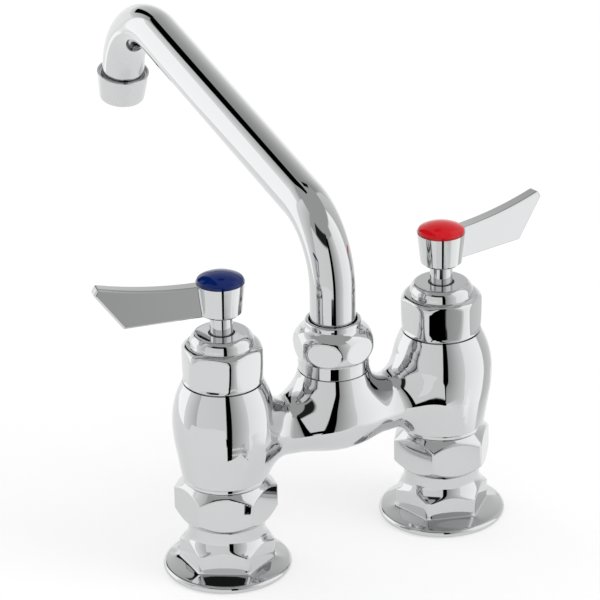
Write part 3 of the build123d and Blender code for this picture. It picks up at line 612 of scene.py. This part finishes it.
class Casting:
    """Outer skin of the casting as a distance function, in millimetres."""

    def __init__(self):
        self.stack = side_profile(stack_outline())
        self.seam, self.flare, self.round = hub_side()

    def hub(self, x, y, z):
        r = np.hypot(x, y)
        (r0, z0), (r1, z1) = self.seam, self.flare
        lean = (r1 - r0) / (z1 - z0)
        cone = (r - (r1 + (z - z1) * lean)) / sqrt(1 + lean * lean)
        centre_r, centre_z, size = self.round
        ball = np.hypot(np.maximum(r - centre_r, 0), z - centre_z) - size
        on_cone = (z - z1) + (r - r1) * lean > 0
        return np.where(on_cone, cone, ball)

    def bridge(self, x, y, z):
        wide, high = bridge_sections(x)
        up = z - bridge_axis
        level = np.sqrt((y / wide) ** 2 + (up / high) ** 2) + 1e-9
        steep = np.sqrt((y / wide ** 2) ** 2 + (up / high ** 2) ** 2) / level + 1e-9
        return np.maximum((level - 1) / steep, np.abs(x) - bridge_end)

    def body(self, x, y, z, at):
        radius, lean = self.stack(z)
        return (np.hypot(x - at, y) - radius) * lean

    def __call__(self, p):
        x, y, z = p[:, 0], p[:, 1], p[:, 2]
        joined = fillet_union(self.hub(x, y, z), self.bridge(x, y, z), saddle_round)
        for at in sides.values():
            joined = fillet_union(joined, self.body(x, y, z, at), saddle_round)
        return joined

    def slope_at(self, p, step=0.02):
        """Gradient of the distance."""
        result = np.empty_like(p)
        for axis in range(3):
            shift = np.zeros(3)
            shift[axis] = step
            result[:, axis] = (self(p + shift) - self(p - shift)) / (2 * step)
        return result

    def settle(self, p, rounds=6):
        """Moves points onto the skin."""
        for _ in range(rounds):
            gradient = self.slope_at(p)
            size = np.maximum((gradient ** 2).sum(axis=1), 0.05)
            p = p - gradient * (self(p) / size)[:, None]
        return p


def casting_blank():
    """Rough closed bodies of the casting, fused and evenly meshed by a voxel remesh. They reach
    past the cuts at foot, shoulder and seam."""
    work = bmesh.new()
    lowest, highest, sides_of_bridge = 38, 92, 48
    stack = [p for p in stack_outline() if lowest < p[1] < highest]
    shapes = []
    for at in sides.values():
        closed = [(0, stack[0][1])] + stack + [(0, stack[-1][1])]
        shapes.append((turned(outline(closed, longest=3), 64), (at, 0, 0)))
    hub = outline([(0, 50), (12, 50), (17.5, 60), (18.2, 67), (14.4, 81.5), (0, 81.5)], longest=3)
    shapes.append((turned(hub, 64), (0, 0, 0)))
    for (vertices, faces, normals), origin in shapes:
        made = [work.verts.new((v + np.array(origin)) * mm) for v in vertices]
        for face in faces:
            work.faces.new([made[i] for i in face])
    rings = []
    for x in np.linspace(-44, 44, 45):
        wide, high = bridge_sections(np.array(x))
        ring = []
        for k in range(sides_of_bridge):
            a = 2 * pi * k / sides_of_bridge
            y, z = wide * cos(a), bridge_axis + high * sin(a)
            ring.append(work.verts.new((x * mm, y * mm, z * mm)))
        rings.append(ring)
    for low, high in zip(rings, rings[1:]):
        for k in range(sides_of_bridge):
            m = (k + 1) % sides_of_bridge
            work.faces.new((low[k], low[m], high[m], high[k]))
    work.faces.new(rings[0])
    work.faces.new(list(reversed(rings[-1])))
    bmesh.ops.recalc_face_normals(work, faces=work.faces)
    mesh = bpy.data.meshes.new("casting_blank")
    work.to_mesh(mesh)
    work.free()
    blank = bpy.data.objects.new("casting_blank", mesh)
    bpy.context.collection.objects.link(blank)
    remesh = blank.modifiers.new("even", "REMESH")
    remesh.mode = "VOXEL"
    remesh.voxel_size = 1.0 * mm
    seen = blank.evaluated_get(bpy.context.evaluated_depsgraph_get())
    even = bpy.data.meshes.new_from_object(seen)
    bpy.data.objects.remove(blank)
    return even


def relax(work, skin, rounds=3):
    """Evens out the mesh along the skin."""
    for _ in range(rounds):
        bmesh.ops.smooth_vert(
            work, verts=work.verts, factor=0.5, use_axis_x=True, use_axis_y=True, use_axis_z=True,
        )
        points = np.array([v.co for v in work.verts]) / mm
        points = skin.settle(points, 3)
        for vertex, point in zip(work.verts, points):
            vertex.co = point * mm


def trim(work, height, keep_below, reach):
    """Cuts the skin level at a height over part of its width and closes the cut."""
    low, high = reach
    chosen = [f for f in work.faces if low < f.calc_center_median().x / mm < high]
    geometry = list({g for f in chosen for g in (f, *f.edges, *f.verts)})
    cut = bmesh.ops.bisect_plane(
        work, geom=geometry, dist=1e-7, plane_co=(0, 0, height * mm),
        plane_no=(0, 0, 1 if keep_below else -1), clear_outer=True,
    )
    rim = [g for g in cut["geom_cut"] if isinstance(g, bmesh.types.BMEdge)]
    made = bmesh.ops.edgeloop_fill(work, edges=rim)
    for face in made["faces"]:
        face.smooth = False
        for edge in face.edges:
            edge.smooth = False


def make_casting():
    """The casting's skin, and its tails and rims as turned pieces of their own."""
    skin = Casting()
    mesh = casting_blank()
    work = bmesh.new()
    work.from_mesh(mesh)
    relax(work, skin)
    body_reach, hub_reach, skin_corners = 26, 16.5, 8
    for at in sides.values():
        reach = (at - body_reach, at + body_reach)
        trim(work, body_shoulder, True, reach)
        trim(work, body_foot, False, reach)
    trim(work, hub_seam, True, (-hub_reach, hub_reach))
    for face in work.faces:
        face.smooth = len(face.verts) <= skin_corners
    bmesh.ops.recalc_face_normals(work, faces=work.faces)
    work.to_mesh(mesh)
    work.free()
    mesh.name = "casting_skin"
    mesh.materials.clear()
    mesh.materials.append(cast_chrome)
    piece = bpy.data.objects.new("casting_skin", mesh)
    bpy.context.collection.objects.link(piece)
    points = np.array([v.co for v in mesh.vertices]) / mm
    outward = skin.slope_at(points)
    outward /= np.maximum(np.linalg.norm(outward, axis=1, keepdims=True), 1e-9)
    corner_normals = []
    for polygon in mesh.polygons:
        for index in polygon.vertices:
            normal = outward[index] if polygon.use_smooth else polygon.normal
            corner_normals.append(tuple(normal))
    mesh.normals_split_custom_set(corner_normals)
    stand_for(piece, "body_casting", "base")
    low, collar = span("body_casting")[0], 41.6
    for side, at in sides.items():
        points = outline(
            (7.3, low), (12.9, low, 0.3), (12.9, collar), (17.9, collar, 0.6),
            (17.9, body_foot, 0.6), (17.2, body_foot), (17.2, 46.0), (7.3, 46.0), (7.3, low),
            longest=0.8,
        )
        tail = place(f"{side}_body_tail", turned(points, 192), (at, 0, 0), chrome)
        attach(tail, "base")
        points = outline(
            (11.7, 84.0), (14.6, 84.0), (14.6, 92.9, 0.3), (11.7, 92.9), (11.7, 84.0), longest=1.0,
        )
        rim = place(f"{side}_body_rim", turned(points, 96), (at, 0, 0), chrome)
        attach(rim, "base")
    points = outline(
        (11.5, 78.0), (13.5, 78.0), (13.5, 88.0, 0.3), (11.5, 88.0), (11.5, 78.0), longest=1.0,
    )
    rim = place("hub_rim", turned(points, 96), (0, 0, 0), chrome)
    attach(rim, "base")


make_casting()
for side in sides:
    make_flange(side)
    make_coupling(side)
    make_bonnet(side)
make_swivel_nut()
make_tube()
make_aerator()


# Stage: white paper with the faucet's shadow, and near cards that only the metal shows

def combine(tree, operation, values):
    """One value from several, taken two at a time with a math node."""
    total = values[0]
    for value in values[1:]:
        both = tree.nodes.new("ShaderNodeMath")
        both.operation = operation
        tree.links.new(total, both.inputs[0])
        tree.links.new(value, both.inputs[1])
        total = both.outputs["Value"]
    return total


def seen_by(tree, *rays):
    """1 for the kinds of ray that are named, 0 for the others."""
    path = tree.nodes.new("ShaderNodeLightPath")
    return combine(tree, "MAXIMUM", [path.outputs[ray] for ray in rays])


def border(tree, value, start, end):
    """Rises softly from 0 to 1 while a value goes from start to end."""
    rise = tree.nodes.new("ShaderNodeMapRange")
    rise.interpolation_type = "SMOOTHSTEP"
    rise.inputs["From Min"].default_value = start
    rise.inputs["From Max"].default_value = end
    tree.links.new(value, rise.inputs["Value"])
    return rise.outputs["Result"]


def cover_with(tree, cover, shader):
    """Shows a shader where its cover is 1 and what lies behind it where the cover is 0."""
    clear = tree.nodes.new("ShaderNodeBsdfTransparent")
    blend = tree.nodes.new("ShaderNodeMixShader")
    tree.links.new(cover, blend.inputs["Fac"])
    tree.links.new(clear.outputs["BSDF"], blend.inputs[1])
    tree.links.new(shader, blend.inputs[2])
    tree.links.new(blend.outputs["Shader"], tree.nodes["Material Output"].inputs["Surface"])


def make_world():
    """White behind the object, grey in the metal and a plain light level everywhere else."""
    world = bpy.data.worlds.new("tent")
    bpy.context.scene.world = world
    world.use_nodes = True
    tree = world.node_tree
    back = tree.nodes["Background"]
    back.inputs["Color"].default_value = (1, 1, 1, 1)
    plain = tree.nodes.new("ShaderNodeMapRange")
    plain.inputs["To Min"].default_value = tent_light
    plain.inputs["To Max"].default_value = 1.0
    tree.links.new(seen_by(tree, "Is Camera Ray", "Is Transmission Ray"), plain.inputs["Value"])
    strength = tree.nodes.new("ShaderNodeMapRange")
    strength.inputs["To Max"].default_value = room_reflected
    tree.links.new(plain.outputs["Result"], strength.inputs["To Min"])
    tree.links.new(seen_by(tree, "Is Glossy Ray"), strength.inputs["Value"])
    tree.links.new(strength.outputs["Result"], back.inputs["Strength"])


def paper_material(name, *rays):
    """Paper: part of its white comes from light, so that it keeps a shadow, and part glows for
    the kinds of ray that are named."""
    made, tree, shader, place = new_material(name)
    shader.inputs["Base Color"].default_value = (paper_white, paper_white, paper_white, 1)
    shader.inputs["Roughness"].default_value = 1.0
    shader.inputs["Specular IOR Level"].default_value = 0.0
    shader.inputs["Emission Color"].default_value = (1, 1, 1, 1)
    strength = tree.nodes.new("ShaderNodeMath")
    strength.operation = "MULTIPLY"
    strength.inputs[1].default_value = paper_glow
    tree.links.new(seen_by(tree, *rays), strength.inputs[0])
    tree.links.new(strength.outputs["Value"], shader.inputs["Emission Strength"])
    return made


def fade_out(made, across, along):
    """Lets a paper fade in over a range of its X and over a range of its Y."""
    tree = made.node_tree
    place = tree.nodes.new("ShaderNodeTexCoord")
    split = tree.nodes.new("ShaderNodeSeparateXYZ")
    tree.links.new(place.outputs["Object"], split.inputs["Vector"])
    borders = [border(tree, split.outputs["X"], *across), border(tree, split.outputs["Y"], *along)]
    cover = combine(tree, "MULTIPLY", borders)
    cover_with(tree, cover, tree.nodes["Principled BSDF"].outputs["BSDF"])


def level_sheet(name, corners, height, made):
    """A level sheet between corners that are (x, y) in metres."""
    mesh = bpy.data.meshes.new(name)
    mesh.from_pydata([(x, y, height) for x, y in corners], [], [tuple(range(len(corners)))])
    mesh.materials.append(made)
    sheet = bpy.data.objects.new(name, mesh)
    bpy.context.collection.objects.link(sheet)
    return sheet


def only_in_metal(sheet):
    """Hides a sheet from everything but the metal's reflections."""
    sheet.visible_camera = False
    sheet.visible_diffuse = False
    sheet.visible_shadow = False
    sheet.visible_transmission = False


def make_floor():
    """Wide paper that the camera sees, and the smaller papers that the metal shows: a table
    top whose near edge lies square to the camera, a sheet beside it and one in front."""
    wide = [(-1, -1), (1, -1), (1, 1), (-1, 1)]
    wide = [(x * floor_half, y * floor_half) for x, y in wide]
    paper = paper_material("paper", "Is Camera Ray", "Is Transmission Ray")
    level_sheet("floor", wide, 0, paper).visible_glossy = False
    table_paper = paper_material("table", "Is Glossy Ray")
    soft_paper = paper_material("soft_table", "Is Glossy Ray")
    fade_out(
        soft_paper, (table_right, table_right + table_fade), (table_back, table_back + table_fade),
    )
    corners = [
        (table_left, table_back), (table_left, table_edge),
        (table_right, table_edge), (table_right, table_back),
    ]
    table = level_sheet("table", corners, 2 * sheet_height, soft_paper)
    table.rotation_euler = (0, 0, radians(camera_azimuth - 180))
    only_in_metal(table)
    beside = [(0.078, -0.05), (0.42, -0.05), (0.42, 0.35), (0.2, 0.35), (0.078, 0.074)]
    only_in_metal(level_sheet("side_paper", beside, sheet_height, table_paper))
    before = [(-0.2, -0.45), (0.26, -0.45), (0.26, -0.05), (-0.2, -0.05)]
    only_in_metal(level_sheet("front_paper", before, sheet_height, table_paper))


def card_material(name, values, upward, fades):
    """Glow that runs from one value to the other along X or, if upward, along Y of the UV map,
    and fades out at all four borders. Fades are the widths of those borders, for X and Y."""
    made = bpy.data.materials.new(name)
    made.use_nodes = True
    tree = made.node_tree
    tree.nodes.remove(tree.nodes["Principled BSDF"])
    uv = tree.nodes.new("ShaderNodeUVMap")
    split = tree.nodes.new("ShaderNodeSeparateXYZ")
    tree.links.new(uv.outputs["UV"], split.inputs["Vector"])
    ramp = tree.nodes.new("ShaderNodeMapRange")
    ramp.inputs["To Min"].default_value = values[0]
    ramp.inputs["To Max"].default_value = values[1]
    tree.links.new(split.outputs["Y" if upward else "X"], ramp.inputs["Value"])
    glow = tree.nodes.new("ShaderNodeEmission")
    tree.links.new(ramp.outputs["Result"], glow.inputs["Strength"])
    borders = []
    for axis, fade in zip("XY", fades):
        borders.append(border(tree, split.outputs[axis], 0, fade))
        borders.append(border(tree, split.outputs[axis], 1, 1 - fade))
    cover_with(tree, combine(tree, "MULTIPLY", borders), glow.outputs["Emission"])
    return made


def card(name, azimuths, elevations, values, soft=5.0, upward=False, radius=card_distance):
    """A curved card round the faucet, between two azimuths and two elevations, that only the
    metal shows. Its radiance runs from one value to the other along the azimuth, or upward,
    and it fades out over a soft border that lies half outside the given limits."""
    steps = 24
    first, last = azimuths[0] - soft / 2, azimuths[1] + soft / 2
    lowest, highest = elevations[0] - soft / 2, elevations[1] + soft / 2
    points, faces = [], []
    for i in range(steps + 1):
        for j in range(steps + 1):
            azimuth = first + (last - first) * i / steps
            elevation = min(90, lowest + (highest - lowest) * j / steps)
            points.append(direction(azimuth, elevation) * radius)
    row = steps + 1
    for i in range(steps):
        for j in range(steps):
            k = i * row + j
            faces.append((k, k + row, k + row + 1, k + 1))
    mesh = bpy.data.meshes.new(name)
    mesh.from_pydata(points, [], faces)
    across = mesh.uv_layers.new(name="across")
    for loop in mesh.loops:
        i, j = divmod(loop.vertex_index, row)
        across.data[loop.index].uv = (i / steps, j / steps)
    sheet = bpy.data.objects.new(name, mesh)
    bpy.context.collection.objects.link(sheet)
    sheet.location = (0, 0, card_centre)
    only_in_metal(sheet)
    fades = (soft / (last - first), soft / (highest - lowest))
    mesh.materials.append(card_material(name, values, upward, fades))


def black_card(name, azimuths, elevations, soft=1.5, glow=0.0):
    """A black card just inside the others."""
    card(name, azimuths, elevations, (glow, glow), soft, False, near_card_distance)


make_world()
make_floor()
card("front_white", (20, 60), (-60, 34), (1.4, 1.4))
card("front_left", (-15, 20), (-60, 16), (1.1, 1.15))
card("front_right", (-60, -15), (-60, 14), (1.0, 1.1))
card("front_grey", (-60, 20), (14, 55), (0.9, 0.3), 5, True)
card("front_top", (20, 60), (34, 50), (1.1, 0.6), 5, True)
black_card("high_bar", (-2, 21), (44, 74))
black_card("crest_bar", (-4, 9), (20, 46))
black_card("flange_bar", (-34, -13), (55, 63))
card("left_turn", (60, 92), (-60, 55), (1.05, 0.6))
card("panel", (92, 158), (-22, 34), (0.93, 0.88), 3)
card("gap", (92, 170), (-31, -22), (0.0, 0.0), 1)
card("low_panel", (92, 206), (-60, -31), (0.85, 0.95), 1)
black_card("black_top", (110, 165), (36, 52), 3, 0.02)
black_card("black_strip", (157.5, 169), (-50, 47))
card("grey_wall", (168, 206), (-60, 48), (0.36, 0.92), 3)
card("right_white", (206, 262), (-60, 58), (1.1, 1.35))
card("right_grey", (262, 300), (-60, 58), (0.65, 0.85))


def make_lamp(name, azimuth, elevation, power):
    """A soft square lamp that faces the faucet and stays out of the metal."""
    data = bpy.data.lights.new(name, "AREA")
    data.shape = "SQUARE"
    data.size = lamp_size
    data.energy = power
    lamp = bpy.data.objects.new(name, data)
    bpy.context.collection.objects.link(lamp)
    back = direction(azimuth, elevation)
    lamp.location = back * lamp_distance
    lamp.rotation_euler = back.to_track_quat("Z", "Y").to_euler()
    lamp.visible_camera = False
    lamp.visible_glossy = False


make_lamp("key", 225, 40, 6.0)
make_lamp("fill", 30, 35, 3.0)


def make_camera():
    """The camera of the photograph, turned a little about its own line of sight."""
    data = bpy.data.cameras.new("camera")
    data.lens = camera_lens
    data.sensor_width = 36.0
    data.clip_end = 20.0
    camera = bpy.data.objects.new("camera", data)
    bpy.context.collection.objects.link(camera)
    back = direction(camera_azimuth, camera_elevation)
    right = Vector((0, 0, 1)).cross(back).normalized()
    up = back.cross(right)
    roll = radians(camera_roll)
    x_axis = cos(roll) * right + sin(roll) * up
    y_axis = cos(roll) * up - sin(roll) * right
    turn = Matrix((x_axis, y_axis, back)).transposed().to_4x4()
    camera.matrix_world = Matrix.Translation(camera_target + back * camera_distance) @ turn
    bpy.context.scene.camera = camera


make_camera()
bpy.context.scene.view_settings.view_transform = "Standard"
